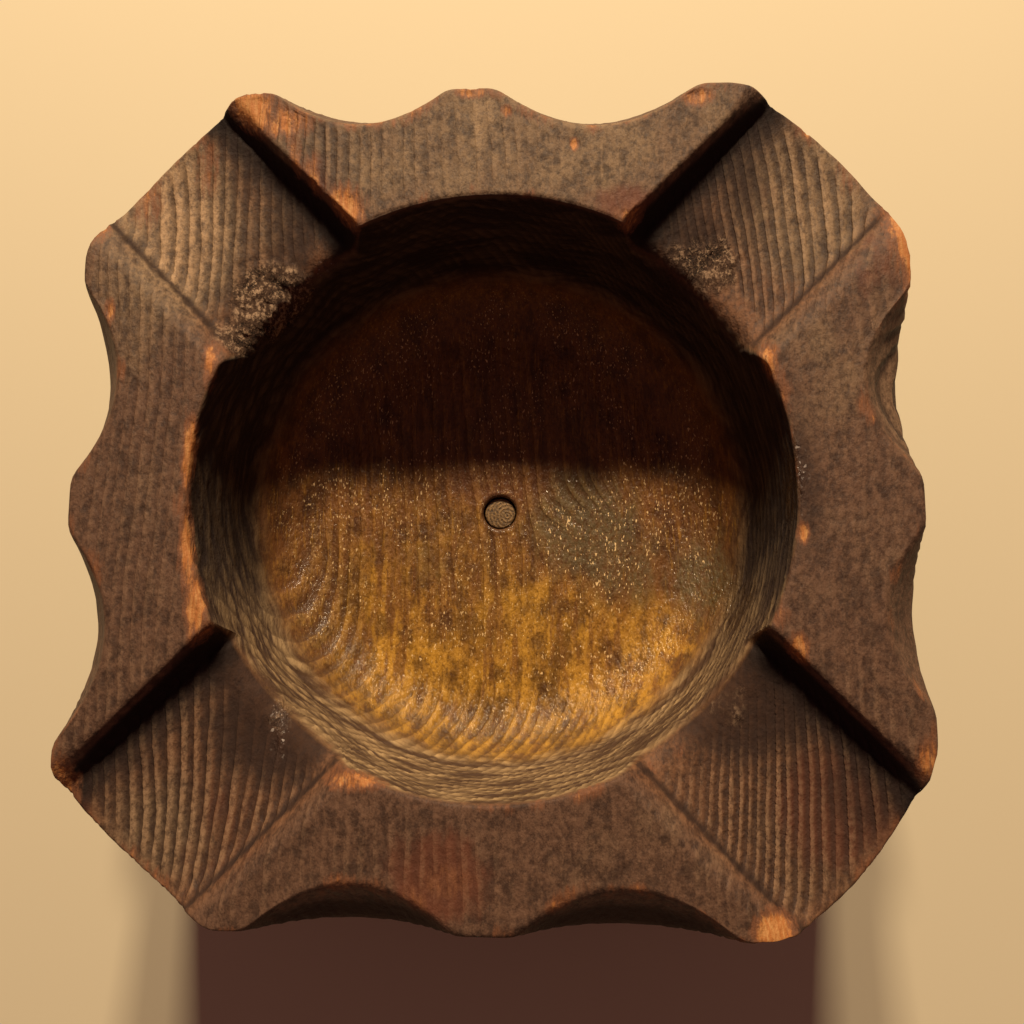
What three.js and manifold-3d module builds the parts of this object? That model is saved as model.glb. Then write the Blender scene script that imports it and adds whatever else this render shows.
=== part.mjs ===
// Carved wooden ashtray dish: one square block of softwood with a round bowl, four diagonal rests
// that run out through the corners, and two scoops in the top of each side. A short dowel plugs the
// bit's pilot hole in the bowl floor, and a thin felt sheet sits in a recess in the underside.
// Millimetres, +Z up, origin at the middle of the base, +Y towards the back of the dish.

import * as THREE from "three";
import { mergeVertices } from "three/addons/utils/BufferGeometryUtils.js";
import Module from "manifold-3d";

// ---- driving sizes ----------------------------------------------------------------------------
const width = 150; // along X, over the side faces
const length = 150; // along Y, over the side faces
const height = 60; // felt underside to top face

const rimRadius = 53;
const rimEase = 1.5; // the softened edge between the top face and the bowl wall
const wallLean = 1; // how much narrower the bowl is where its wall meets the fillet
const bowlDepth = 37;
const bowlFillet = 15; // between bowl wall and floor
const floorDish = 0.8; // the floor is this much lower at its middle

const cornerInset = 31; // from the square corner back to each corner cusp
const cornerReach = 9; // how far a side's line is led on past its cusp, which swells the corner
const scoopDepth = 8; // how far a scoop bites into its side, at the top face
const cuspRound = 0.3; // the share of a scoop's half span that belongs to the rounded cusp
const scoopRun = 1.0; // sideways run of a scoop for each millimetre down, on the front and right
const steepScoopRun = 0.65; // the same on the back and left, which are carved steeper

const grooveWidth = 31;
const grooveEdgeDepth = 5.4; // where the groove's floor meets its steep sides, at the bowl's rim
const grooveSag = 1.6; // extra depth along the middle of the groove
const grooveFlare = 1.2; // each steep side leans out by this much at the top face
const grooveRise = 0.05; // how much the groove's floor climbs for each millimetre outwards

const pilotDiameter = 7.2; // hole left by the bit that cleared the bowl
const pilotDepth = 9;
const plugSink = 1.1; // the plug's face lies this far under the bowl floor

const feltMargin = 9; // from the side faces in to the edge of the felt
const feltThickness = 1.5;
const feltProud = 0.5; // how far the felt stands below the wood
const feltCornerRadius = 30;

const clearance = 0.3; // between pieces that touch

// Each side was carved by eye. Starting from the right-hand side (+X) and going anticlockwise, a row
// gives how far its three cusps are off their even places along the side, how much deeper its two
// scoops are than the common depth, how far they run out for each millimetre down, and how much
// further than the common reach the corner after it swells.
const carvedSides = [
  { cusps: [1.9, -2.9, -4], scoops: [-0.5, 1.1], run: scoopRun, swell: 5 },
  { cusps: [1, 3.8, 1], scoops: [0.2, -1], run: steepScoopRun, swell: 0.5 },
  { cusps: [1.6, 2.9, 5.5], scoops: [-0.3, 0.4], run: steepScoopRun, swell: -2 },
  { cusps: [-0.5, 0, 3], scoops: [0.2, 0.2], run: scoopRun, swell: 3 },
];

// ---- fineness of the faceting -----------------------------------------------------------------
const bowlSegments = 72;
const filletSegments = 7;
const scoopSegments = 14;
const cornerSegments = 10;
const grooveSegments = 8;
const plugSegments = 28;
const feltSegments = 8;

// ---- worked out from the sizes ----------------------------------------------------------------
const over = 2; // how far a cutter carries on past the face that it cuts through
const weldDistance = 1e-4; // points nearer than this are one corner
const woodBase = feltProud;
const floorLevel = height - bowlDepth;
const rightAngle = Math.PI / 2;
const sides = carvedSides.map((carved, index) => ({
  ...carved,
  angle: index * rightAngle,
  reach: (index % 2 === 0 ? width : length) / 2,
  half: (index % 2 === 0 ? length : width) / 2,
}));

// ---- solids -----------------------------------------------------------------------------------
const wasm = await Module();
wasm.setup();

function solidFrom(geometry) {
  const bare = geometry.clone();
  bare.deleteAttribute("normal");
  bare.deleteAttribute("uv");
  const merged = mergeVertices(bare, weldDistance);
  return new wasm.Manifold(new wasm.Mesh({
    numProp: 3,
    vertProperties: new Float32Array(merged.getAttribute("position").array),
    triVerts: new Uint32Array(merged.getIndex().array),
  }));
}

function meshFrom(name, solid, material) {
  const { vertProperties, triVerts } = solid.getMesh();
  const geometry = new THREE.BufferGeometry();
  geometry.setAttribute("position", new THREE.BufferAttribute(new Float32Array(vertProperties), 3));
  geometry.setIndex(new THREE.BufferAttribute(new Uint32Array(triVerts), 1));
  geometry.computeVertexNormals();
  const mesh = new THREE.Mesh(geometry, material);
  mesh.name = name;
  return mesh;
}

// A flat shape in the plan, made solid from one level to another.
function upright(shape, low, high, curveSegments) {
  const geometry = new THREE.ExtrudeGeometry(shape, {
    depth: high - low,
    steps: 1,
    bevelEnabled: false,
    curveSegments,
  });
  return geometry.translate(0, 0, low);
}

// A point that is given along and out from a side, turned into the dish's own X and Y.
function onSide(side, along, out) {
  const point = new THREE.Vector2(out, along);
  return point.rotateAround(new THREE.Vector2(), side.angle);
}

// ---- outer block ------------------------------------------------------------------------------
function cuspPlaces(side) {
  const corner = side.half - cornerInset;
  return [-corner + side.cusps[0], side.cusps[1], corner + side.cusps[2]];
}

// Straight sides joined by corners that swell outwards between one side's cusp and the next's.
function blockOutline() {
  const shape = new THREE.Shape();
  sides.forEach((side, index) => {
    const next = sides[(index + 1) % sides.length];
    const [first, , last] = cuspPlaces(side);
    const start = onSide(side, first, side.reach);
    const end = onSide(side, last, side.reach);
    const lead = cornerReach + side.swell;
    const leave = onSide(side, last + lead, side.reach);
    const arrive = onSide(next, cuspPlaces(next)[0] - lead, next.reach);
    const nextStart = onSide(next, cuspPlaces(next)[0], next.reach);
    if (index === 0) {
      shape.moveTo(start.x, start.y);
    }
    shape.lineTo(end.x, end.y);
    shape.bezierCurveTo(leave.x, leave.y, arrive.x, arrive.y, nextStart.x, nextStart.y);
  });
  return shape;
}

// How deep a scoop is at a place between its two cusps, as a share of its depth. Share runs from -1
// at one cusp to 1 at the other. The curve is even in the middle and turns over at each cusp.
function scoopProfile(share) {
  const off = Math.abs(share);
  const turn = 1 - cuspRound;
  if (off <= turn) {
    return 1 - (off * off) / turn;
  }
  return ((1 - off) * (1 - off)) / cuspRound;
}

// The plan of one scoop's cutter at the top face. X is how far out from the side face, and Y is along
// the side, so the wood is where X is negative.
function scoopOutline(from, to, depth, beyond) {
  const middle = (from + to) / 2;
  const halfSpan = (to - from) / 2;
  const shape = new THREE.Shape();
  shape.moveTo(beyond, from);
  shape.lineTo(beyond, to);
  for (let step = 0; step <= scoopSegments; step += 1) {
    const share = 1 - (2 * step) / scoopSegments;
    shape.lineTo(-depth * scoopProfile(share), middle + share * halfSpan);
  }
  return shape;
}

// The cutter slants outwards as it goes down, so the scoop runs out through the side face.
function scoopCutter(side, from, to, depth) {
  const drop = depth / side.run + over;
  const geometry = upright(scoopOutline(from, to, depth, depth + over), -drop, over, scoopSegments);
  const slant = new THREE.Matrix4().set(
    1, 0, -side.run, 0,
    0, 1, 0, 0,
    0, 0, 1, 0,
    0, 0, 0, 1,
  );
  geometry.applyMatrix4(slant);
  geometry.translate(side.reach, 0, height);
  return geometry.rotateZ(side.angle);
}

function scoopCutters() {
  return sides.flatMap((side) => {
    const cusps = cuspPlaces(side);
    return side.scoops.map((extra, place) => (
      scoopCutter(side, cusps[place], cusps[place + 1], scoopDepth + extra)
    ));
  });
}

// ---- bowl -------------------------------------------------------------------------------------
function turned(profile, segments) {
  return new THREE.LatheGeometry(profile, segments).rotateX(rightAngle);
}

function bowlCutter() {
  const wallRadius = rimRadius - wallLean;
  const fillet = Math.min(bowlFillet, bowlDepth - rimEase);
  const profile = [new THREE.Vector2(0, floorLevel - floorDish)];
  for (let step = 0; step <= filletSegments; step += 1) {
    const turn = (step / filletSegments) * rightAngle;
    profile.push(new THREE.Vector2(
      wallRadius - fillet + fillet * Math.sin(turn),
      floorLevel + fillet - fillet * Math.cos(turn),
    ));
  }
  profile.push(new THREE.Vector2(rimRadius, height - rimEase));
  profile.push(new THREE.Vector2(rimRadius + rimEase, height));
  profile.push(new THREE.Vector2(rimRadius + rimEase, height + over));
  profile.push(new THREE.Vector2(0, height + over));
  return turned(profile, bowlSegments);
}

// ---- rests at the corners ---------------------------------------------------------------------
// The groove's section, seen along it. Y is up from the level of its floor's edges at the rim.
function grooveSection() {
  const half = grooveWidth / 2;
  const top = grooveEdgeDepth + over;
  const lean = grooveFlare / grooveEdgeDepth;
  const arcRadius = (half * half + grooveSag * grooveSag) / (2 * grooveSag);
  const reach = Math.asin(half / arcRadius);
  const shape = new THREE.Shape();
  shape.moveTo(half + lean * top, top);
  shape.lineTo(-half - lean * top, top);
  shape.lineTo(-half, 0);
  shape.absarc(0, arcRadius - grooveSag, arcRadius, -rightAngle - reach, -rightAngle + reach, false);
  shape.closePath();
  return shape;
}

function grooveCutter(corner) {
  const run = Math.hypot(width, length) / 2;
  const geometry = new THREE.ExtrudeGeometry(grooveSection(), {
    depth: run,
    steps: 1,
    bevelEnabled: false,
    curveSegments: grooveSegments,
  });
  const climb = new THREE.Matrix4().set(
    1, 0, 0, 0,
    0, 1, grooveRise, 0,
    0, 0, 1, 0,
    0, 0, 0, 1,
  );
  const start = rimRadius / 2;
  geometry.translate(0, 0, start - rimRadius).applyMatrix4(climb).translate(0, 0, rimRadius);
  const up = new THREE.Vector3(0, 0, 1);
  const out = new THREE.Vector3(corner.x, corner.y, 0).normalize();
  const across = new THREE.Vector3().crossVectors(up, out);
  geometry.applyMatrix4(new THREE.Matrix4().makeBasis(across, up, out));
  return geometry.translate(0, 0, height - grooveEdgeDepth);
}

function grooveCutters() {
  return [[1, 1], [-1, 1], [-1, -1], [1, -1]].map(([right, back]) => (
    grooveCutter(new THREE.Vector2(right, back))
  ));
}

// ---- pilot hole and its plug ------------------------------------------------------------------
const pilotBottom = floorLevel - pilotDepth;
const plugTop = floorLevel - floorDish - plugSink;

function upCylinder(radius, low, high) {
  const geometry = new THREE.CylinderGeometry(radius, radius, high - low, plugSegments);
  return geometry.rotateX(rightAngle).translate(0, 0, (low + high) / 2);
}

function pilotCutter() {
  return upCylinder(pilotDiameter / 2, pilotBottom, floorLevel + over);
}

function plugGeometry() {
  return upCylinder(pilotDiameter / 2 - clearance, pilotBottom + clearance, plugTop);
}

// ---- felt and its recess ----------------------------------------------------------------------
function roundedOutline(halfX, halfY, radius) {
  const shape = new THREE.Shape();
  [[1, 1], [-1, 1], [-1, -1], [1, -1]].forEach(([right, back], quarter) => {
    const from = quarter * rightAngle;
    const centreX = right * (halfX - radius);
    const centreY = back * (halfY - radius);
    shape.absarc(centreX, centreY, radius, from, from + rightAngle, false);
  });
  shape.closePath();
  return shape;
}

function feltShape(gap) {
  return roundedOutline(
    width / 2 - feltMargin + gap,
    length / 2 - feltMargin + gap,
    feltCornerRadius + gap,
  );
}

function recessCutter() {
  return upright(feltShape(0), woodBase - over, feltThickness + clearance, feltSegments);
}

function feltGeometry() {
  return upright(feltShape(-clearance), 0, feltThickness, feltSegments);
}

// ---- pieces -----------------------------------------------------------------------------------
function dishBody() {
  const block = solidFrom(upright(blockOutline(), woodBase, height, cornerSegments));
  const cutters = [
    bowlCutter(),
    ...scoopCutters(),
    ...grooveCutters(),
    pilotCutter(),
    recessCutter(),
  ];
  return cutters.reduce((wood, cutter) => wood.subtract(solidFrom(cutter)), block);
}

const charredWood = new THREE.MeshStandardMaterial({ color: 0x4a3226, roughness: 0.62 });
const plugWood = new THREE.MeshStandardMaterial({ color: 0x6b5a34, roughness: 0.5 });
const baize = new THREE.MeshStandardMaterial({ color: 0x2c3a2a, roughness: 0.95 });

const dish = new THREE.Group();
dish.add(meshFrom("dish_body", dishBody(), charredWood));
dish.add(meshFrom("centre_plug", solidFrom(plugGeometry()), plugWood));
dish.add(meshFrom("base_felt", solidFrom(feltGeometry()), baize));

export default dish;
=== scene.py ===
"""Carved ashtray dish of scorched, brushed softwood, with its centre plug and its felt base."""

import math
import bpy
import numpy as np
from mathutils import Matrix, Vector


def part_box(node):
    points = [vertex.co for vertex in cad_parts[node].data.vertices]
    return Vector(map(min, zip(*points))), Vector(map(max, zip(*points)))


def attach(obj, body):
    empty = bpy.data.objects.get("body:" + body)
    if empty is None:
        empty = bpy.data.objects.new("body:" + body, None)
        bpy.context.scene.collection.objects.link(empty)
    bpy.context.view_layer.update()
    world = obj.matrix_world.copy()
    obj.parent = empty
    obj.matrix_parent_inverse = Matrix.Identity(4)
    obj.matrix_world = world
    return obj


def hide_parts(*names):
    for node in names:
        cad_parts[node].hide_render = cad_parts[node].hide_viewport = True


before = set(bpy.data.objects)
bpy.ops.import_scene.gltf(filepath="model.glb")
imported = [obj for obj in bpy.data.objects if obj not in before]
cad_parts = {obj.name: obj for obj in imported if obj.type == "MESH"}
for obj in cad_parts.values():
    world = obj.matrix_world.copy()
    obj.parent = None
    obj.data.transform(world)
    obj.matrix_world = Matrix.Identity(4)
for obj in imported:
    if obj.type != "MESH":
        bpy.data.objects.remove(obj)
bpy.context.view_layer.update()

MM = 0.001

# ---- sizes of the carving, in metres ------------------------------------------------------------
body_low, body_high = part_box("dish_body")
felt_low, felt_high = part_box("base_felt")
plug_low, plug_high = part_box("centre_plug")
REACH = body_high.x
TOP = body_high.z
BASE = body_low.z

RIM_RADIUS = 53 * MM
WALL_LEAN = 1 * MM
BOWL_DEPTH = 37 * MM
BOWL_FILLET = 15 * MM
FLOOR_DISH = 0.8 * MM
FLOOR = TOP - BOWL_DEPTH
FLOOR_RADIUS = RIM_RADIUS - WALL_LEAN - BOWL_FILLET

CORNER_INSET = 31 * MM
CORNER_REACH = 9 * MM
SCOOP_DEPTH = 8 * MM
CUSP_ROUND = 0.3
SCOOP_SOFTNESS = 1.2 * MM  # rounds the line where a scoop runs out through its side

GROOVE_HALF = 15.5 * MM
GROOVE_EDGE_DEPTH = 5.4 * MM
GROOVE_SAG = 1.6 * MM
GROOVE_FLARE = 1.2 * MM
GROOVE_RISE = 0.05
GROOVE_SOFTNESS = 0.7 * MM  # rounds the top and the foot of a groove's steep sides
GROOVE_WORN_SOFTNESS = 2.0 * MM  # how much rounder the side nearer -Y is worn
GROOVE_OUTER_SOFTNESS = 2.2 * MM  # how much rounder both sides are at the outline
GROOVE_CREASE = 0.5 * MM  # the gouge cut a little deeper along the foot of each steep side
GROOVE_LIP = 4 * MM  # how far the burnt inner end rolls over into the bowl

RIM_EASE = 1.5 * MM
TOP_EASE = 0.8 * MM
BASE_EASE = 0.8 * MM
EDGE_WEAR = 3 * MM  # how far in from an edge the handling shows
CLEARANCE = 0.3 * MM
PILOT_RADIUS = plug_high.x + CLEARANCE
PILOT_DEPTH = 9 * MM
PILOT_BOTTOM = FLOOR - PILOT_DEPTH
HOLE_EASE = 0.5 * MM
HOLE_DOUBLING = 7.5 * MM  # the floor's columns double at this radius and at its doubles
FELT_CORNER = 30 * MM - CLEARANCE

# The carved differences between the sides, from +X anticlockwise: how far the three cusps are off
# their even places, how much deeper the two scoops are, how far a scoop runs out for each unit
# down, and how much further the corner after the side swells.
CARVED_SIDES = [
    {"cusps": (1.9, -2.9, -4), "scoops": (-0.5, 1.1), "run": 1.0, "swell": 5},
    {"cusps": (1, 3.8, 1), "scoops": (0.2, -1), "run": 0.65, "swell": 0.5},
    {"cusps": (1.6, 2.9, 5.5), "scoops": (-0.3, 0.4), "run": 0.65, "swell": -2},
    {"cusps": (-0.5, 0, 3), "scoops": (0.2, 0.2), "run": 1.0, "swell": 3},
]

# ---- fineness of the carved mesh ----------------------------------------------------------------
SIDE_COLUMNS = (72, 128, 72, 128)  # the grain runs along Y, so the +Y and -Y sides need the most
EDGE_COLUMNS = 5
GROOVE_COLUMNS = 60
COLUMNS = sum(SIDE_COLUMNS) + 4 * (2 * EDGE_COLUMNS + GROOVE_COLUMNS)
HOLE_COLUMNS = COLUMNS // 8
FLOOR_STEP = 0.6 * MM
FILLET_ROWS = 20
WALL_ROWS = 16
TOP_ROWS = 42
EASE_ROWS = 4
SCOOP_ROWS = 10
SCOOP_ZONE = 13 * MM
SIDE_ROWS = 34


def smooth_step(low, high, value):
    """0 at low, 1 at high, and eased between them; low may be the larger."""
    share = np.clip((value - low) / (high - low), 0, 1)
    return share * share * (3 - 2 * share)


# ---- plan of the carving ------------------------------------------------------------------------
def heading(degrees):
    turn = math.radians(degrees)
    return np.array([math.cos(turn), math.sin(turn)])


def side_axes(side):
    """The way out of a side and the way along it, anticlockwise."""
    return heading(90 * side), heading(90 * side + 90)


def cusp_places(side):
    corner = REACH - CORNER_INSET
    first, middle, last = (c * MM for c in CARVED_SIDES[side % 4]["cusps"])
    return -corner + first, middle, corner + last


def on_side(side, along):
    out_way, along_way = side_axes(side)
    return np.outer(np.atleast_1d(along), along_way) + REACH * out_way


def corner_curve(side, shares):
    """The swollen corner from a side's last cusp to the next side's first one."""
    lead = CORNER_REACH + CARVED_SIDES[side % 4]["swell"] * MM
    last = cusp_places(side)[2]
    first = cusp_places(side + 1)[0]
    ends = [on_side(side, last), on_side(side, last + lead)]
    ends += [on_side(side + 1, first - lead), on_side(side + 1, first)]
    s = np.asarray(shares)[:, None]
    weights = [(1 - s) ** 3, 3 * s * (1 - s) ** 2, 3 * s * s * (1 - s), s ** 3]
    return sum(weight * end for weight, end in zip(weights, ends))


def scooped(points, side, drop):
    """Plan points of the uncut block, moved in to where the scoops leave the wood at this drop."""
    out_way, along_way = side_axes(side)
    along = points @ along_way
    cusps = cusp_places(side)
    carved = CARVED_SIDES[side % 4]
    bite = np.zeros(len(points))
    for place, extra in enumerate(carved["scoops"]):
        start, end = cusps[place], cusps[place + 1]
        off = np.clip(np.abs(along - (start + end) / 2) / ((end - start) / 2), 0, 1)
        turn = 1 - CUSP_ROUND
        profile = np.where(off <= turn, 1 - off ** 2 / turn, (1 - off) ** 2 / CUSP_ROUND)
        depth = SCOOP_DEPTH + extra * MM + SCOOP_SOFTNESS / 2
        bite = np.maximum(bite, depth * profile - carved["run"] * drop)
    eased = bite ** 2 / (2 * SCOOP_SOFTNESS)
    soft = np.where(bite < SCOOP_SOFTNESS, eased, bite - SCOOP_SOFTNESS / 2)
    return points - np.outer(soft, out_way)


def groove_place(x, y):
    """How far out along the nearest corner's diagonal, how far off it, and 1 on the side nearer +Y."""
    out = (np.abs(x) + np.abs(y)) / math.sqrt(2)
    leftover = np.where(y < 0, -1, 1) * (np.abs(y) - np.abs(x)) / math.sqrt(2)
    return out, np.abs(leftover), (leftover > 0).astype(float)


def top_level(x, y):
    """Height of the top face, with its four corner grooves."""
    out, across, sheltered = groove_place(x, y)
    soft = GROOVE_SOFTNESS + GROOVE_WORN_SOFTNESS * (1 - sheltered)
    soft = soft + GROOVE_OUTER_SOFTNESS * smooth_step(REACH, 1.22 * REACH, out)
    share = 1 - smooth_step(GROOVE_HALF - soft, GROOVE_HALF + GROOVE_FLARE + soft, across)
    depth = GROOVE_EDGE_DEPTH - GROOVE_RISE * (out - RIM_RADIUS)
    depth += GROOVE_SAG * np.clip(1 - (across / GROOVE_HALF) ** 2, 0, 1)
    foot = GROOVE_HALF - 1.4 * GROOVE_SOFTNESS
    crease = np.clip(1 - np.abs(across - foot) / GROOVE_SOFTNESS, 0, 1)
    return TOP - share * (depth + GROOVE_CREASE * crease)


def column_plan():
    """For every column: its angle and the roll of the rim there, and the foot and side it runs out to."""
    edge = GROOVE_HALF + GROOVE_FLARE + GROOVE_SOFTNESS
    foot = GROOVE_HALF - GROOVE_SOFTNESS
    steep = np.linspace(-edge, -foot, EDGE_COLUMNS + 1)
    lateral = np.concatenate([
        steep[:-1], np.linspace(-foot, foot, GROOVE_COLUMNS + 1)[:-1], -steep[::-1][:-1],
    ])
    groove_lip = RIM_EASE + (GROOVE_LIP - RIM_EASE) * (1 - smooth_step(foot, edge, np.abs(lateral)))
    groove_turn = np.arcsin(lateral / (RIM_RADIUS + groove_lip))
    half = math.pi / 4 - math.asin(edge / (RIM_RADIUS + RIM_EASE))
    fine = np.linspace(0, 1, 801)
    angles, lips, feet, owners = [], [], [], []
    for side, count in enumerate(SIDE_COLUMNS):
        before = corner_curve(side - 1, fine)
        after = corner_curve(side, fine)
        after_side = after @ heading(90 * side + 135)
        straight = on_side(side, np.linspace(cusp_places(side)[0], cusp_places(side)[2], 801))
        run = np.concatenate([
            before[before @ heading(90 * side + 45) > edge], straight, after[after_side < -edge],
        ])
        walked = np.concatenate([[0], np.cumsum(np.hypot(*np.diff(scooped(run, side, 0), axis=0).T))])
        stops = np.linspace(0, walked[-1], count + 1)[:-1]
        feet.append(np.stack([np.interp(stops, walked, run[:, axis]) for axis in (0, 1)], axis=1))
        angles.append(math.radians(90 * side) + np.linspace(-half, half, count + 1)[:-1])
        lips.append(np.full(count, RIM_EASE))
        owners.append(np.full(count, side))
        feet.append(corner_curve(side, np.interp(lateral, after_side, fine)))
        angles.append(math.radians(90 * side + 45) + groove_turn)
        lips.append(groove_lip)
        owners.append(np.full(len(lateral), -1))
    return tuple(np.concatenate(part) for part in (angles, lips, feet, owners))


ANGLES, LIPS, FEET, OWNERS = column_plan()


def outside(drop):
    """The plan of the block's outside for every column, at a drop below the top face."""
    plan = FEET.copy()
    drop = np.broadcast_to(drop, (COLUMNS,))
    for side in range(4):
        mine = OWNERS == side
        plan[mine] = scooped(FEET[mine], side, drop[mine])
    return plan


# ---- rings of the carved body -------------------------------------------------------------------
def ring(plan, level, edge=0):
    """Points x, y, z, with a fourth number that is 1 on a handled edge and 0 away from it."""
    count = (len(plan),)
    return np.column_stack([plan, np.broadcast_to(level, count), np.broadcast_to(edge, count)])


def round_ring(radius, level, count=COLUMNS, edge=0):
    angles = ANGLES[::COLUMNS // count]
    return ring(np.column_stack([radius * np.cos(angles), radius * np.sin(angles)]), level, edge)


def floor_rings():
    """Pilot hole and bowl floor, from the middle out, with more columns as the rings widen."""
    hole_top = FLOOR - FLOOR_DISH - HOLE_EASE
    levels = np.linspace(PILOT_BOTTOM, hole_top, 5)
    rings = [round_ring(PILOT_RADIUS, level, HOLE_COLUMNS) for level in levels]
    radius = PILOT_RADIUS + HOLE_EASE
    count = HOLE_COLUMNS
    while radius < FLOOR_RADIUS - FLOOR_STEP / 2:
        while count < COLUMNS and radius > HOLE_DOUBLING * count / HOLE_COLUMNS:
            count *= 2
        level = FLOOR - FLOOR_DISH * (1 - radius / FLOOR_RADIUS)
        rings.append(round_ring(radius, level, count))
        radius += FLOOR_STEP
    return rings


def wall_rings(crown):
    """Fillet, wall and rolled rim of the bowl, up to the crown, which is lower in the grooves."""
    rings = []
    wall = RIM_RADIUS - WALL_LEAN
    for turn in np.linspace(0, math.pi / 2, FILLET_ROWS + 1):
        radius = FLOOR_RADIUS + BOWL_FILLET * math.sin(turn)
        rings.append(round_ring(radius, FLOOR + BOWL_FILLET * (1 - math.cos(turn))))
    start = FLOOR + BOWL_FILLET
    for share in np.linspace(0, 1, WALL_ROWS + 1)[1:]:
        level = start + share * (crown - LIPS - start)
        rings.append(round_ring(wall + WALL_LEAN * (level - start) / (TOP - start), level))
    for turn in np.linspace(0, math.pi / 2, EASE_ROWS + 1)[1:]:
        radius = RIM_RADIUS + LIPS * (1 - math.cos(turn))
        rings.append(round_ring(radius, crown - LIPS * (1 - math.sin(turn)), edge=math.sin(turn)))
    return rings


def top_rings():
    """The top face and the groove floors, from the rim to the outside edge, and that eased edge."""
    inner = round_ring(RIM_RADIUS + LIPS, 0)[:, :2]
    outer = outside(0)
    width = np.hypot(*(outer - inner).T)
    way = (outer - inner) / width[:, None]
    inset = outer - way * TOP_EASE
    rings = []
    for share in np.linspace(0, 1, TOP_ROWS + 1)[1:]:
        plan = inner + (inset - inner) * share
        edge = np.clip(1 - width * min(share, 1 - share) / EDGE_WEAR, 0, 1)
        rings.append(ring(plan, top_level(*plan.T), edge))
    crown = top_level(*outer.T)
    for turn in np.linspace(0, math.pi / 2, EASE_ROWS + 1)[1:]:
        drop = TOP_EASE * (1 - math.cos(turn))
        plan = outside(TOP - crown + drop) - way * TOP_EASE * (1 - math.sin(turn))
        rings.append(ring(plan, crown - drop, 1))
    return rings


def side_rings():
    """The outside, from its eased top edge down past the scoops to the foot of the wood."""
    crown = top_level(*outside(0).T) - TOP_EASE
    rings = []
    for share in np.linspace(0, 1, SCOOP_ROWS + 1)[1:]:
        level = crown + share * (TOP - SCOOP_ZONE - crown)
        rings.append(ring(outside(TOP - level), level, np.clip(1 - (crown - level) / EDGE_WEAR, 0, 1)))
    for level in np.linspace(TOP - SCOOP_ZONE, BASE + BASE_EASE, SIDE_ROWS + 1)[1:]:
        rings.append(ring(outside(TOP - level), level)[::2])
    for turn in np.linspace(0, math.pi / 2, EASE_ROWS + 1)[1:]:
        shrink = 1 - BASE_EASE * (1 - math.cos(turn)) / REACH
        rings.append(ring(FEET * shrink, BASE + BASE_EASE * (1 - math.sin(turn)))[::2])
    return rings


def rounded_square(half, corner, turn):
    """Plan points, at these angles round the middle, of a square with round corners."""
    fold = np.abs((turn + math.pi / 4) % (math.pi / 2) - math.pi / 4)
    flat = half / np.cos(fold)
    middle = (half - corner) * math.sqrt(2)
    slant = math.pi / 4 - fold
    arc = middle * np.cos(slant) + np.sqrt(np.maximum(corner ** 2 - (middle * np.sin(slant)) ** 2, 0))
    radius = np.where(half * np.tan(fold) > half - corner, arc, flat)
    return np.column_stack([radius * np.cos(turn), radius * np.sin(turn)])


def recess_rings():
    """The recess that takes the felt: its edge in the underside and the edge of its ceiling."""
    turn = np.arctan2(FEET[::2, 1], FEET[::2, 0])
    plan = rounded_square(felt_high.x + CLEARANCE, FELT_CORNER + CLEARANCE, turn)
    return [ring(plan, BASE), ring(plan, felt_high.z + CLEARANCE)]


def bridge(faces, inner, outer, inner_count, outer_count):
    """Faces between two rings, where one may have twice the other's columns."""
    fewer = min(inner_count, outer_count)
    for j in range(fewer):
        k = (j + 1) % fewer
        if inner_count == outer_count:
            faces.append((inner + j, outer + j, outer + k, inner + k))
        elif inner_count > outer_count:
            a, b, c = inner + 2 * j, inner + 2 * j + 1, inner + 2 * k
            faces += [(a, outer + j, b), (outer + j, outer + k, b), (b, outer + k, c)]
        else:
            a, b, c = outer + 2 * j, outer + 2 * j + 1, outer + 2 * k
            faces += [(inner + j, a, b), (inner + j, b, inner + k), (inner + k, b, c)]


def skin(name, rings):
    """One closed mesh from a run of rings that wind anticlockwise; its first and last are capped."""
    starts = np.cumsum([0] + [len(r) for r in rings])
    faces = [tuple(range(starts[1]))]
    for place in range(len(rings) - 1):
        bridge(faces, starts[place], starts[place + 1], len(rings[place]), len(rings[place + 1]))
    faces.append(tuple(reversed(range(starts[-2], starts[-1]))))
    mesh = bpy.data.meshes.new(name)
    mesh.from_pydata(np.concatenate(rings)[:, :3].tolist(), [], [[int(v) for v in face] for face in faces])
    mesh.polygons.foreach_set("use_smooth", [True] * len(mesh.polygons))
    mesh.set_sharp_from_angle(angle=math.radians(50))
    return mesh


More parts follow.
